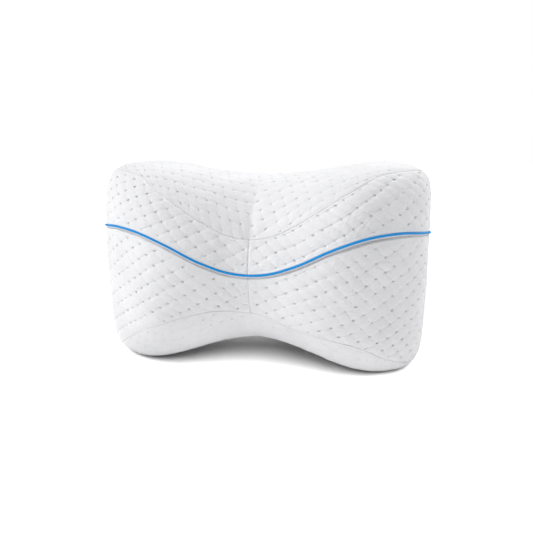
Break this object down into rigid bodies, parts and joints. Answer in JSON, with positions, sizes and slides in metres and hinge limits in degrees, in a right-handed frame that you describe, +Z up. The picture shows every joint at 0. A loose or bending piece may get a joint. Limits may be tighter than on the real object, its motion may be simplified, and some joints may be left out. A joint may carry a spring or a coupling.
{
  "type": "knee pillow",
  "caption": "Contoured knee pillow in white quilted knit, with a leg hollow on top, an arch below, two feet, blue piping round it and a zip under the piping.",
  "frame": {"origin": "bottom centre of the pillow's bounding box, on the surface it stands on", "axes": "+X along the pillow's length to the right as seen from the front, -Y to the front with the zip, +Z up"},
  "size_m": [0.2526, 0.1546, 0.1547],
  "materials": {
    "quilted_knit": "white polyester knit, quilted in small puffs, soft and matt",
    "piping_cloth": "bright sky blue bias cloth over a cord, slightly satin",
    "zip_tape": "grey-lilac ribbed nylon zip tape"
  },
  "bodies": {
    "root": {"pillow": "quilted_knit", "piping": "piping_cloth", "zip_tape": "zip_tape"}
  },
  "joints": []
}
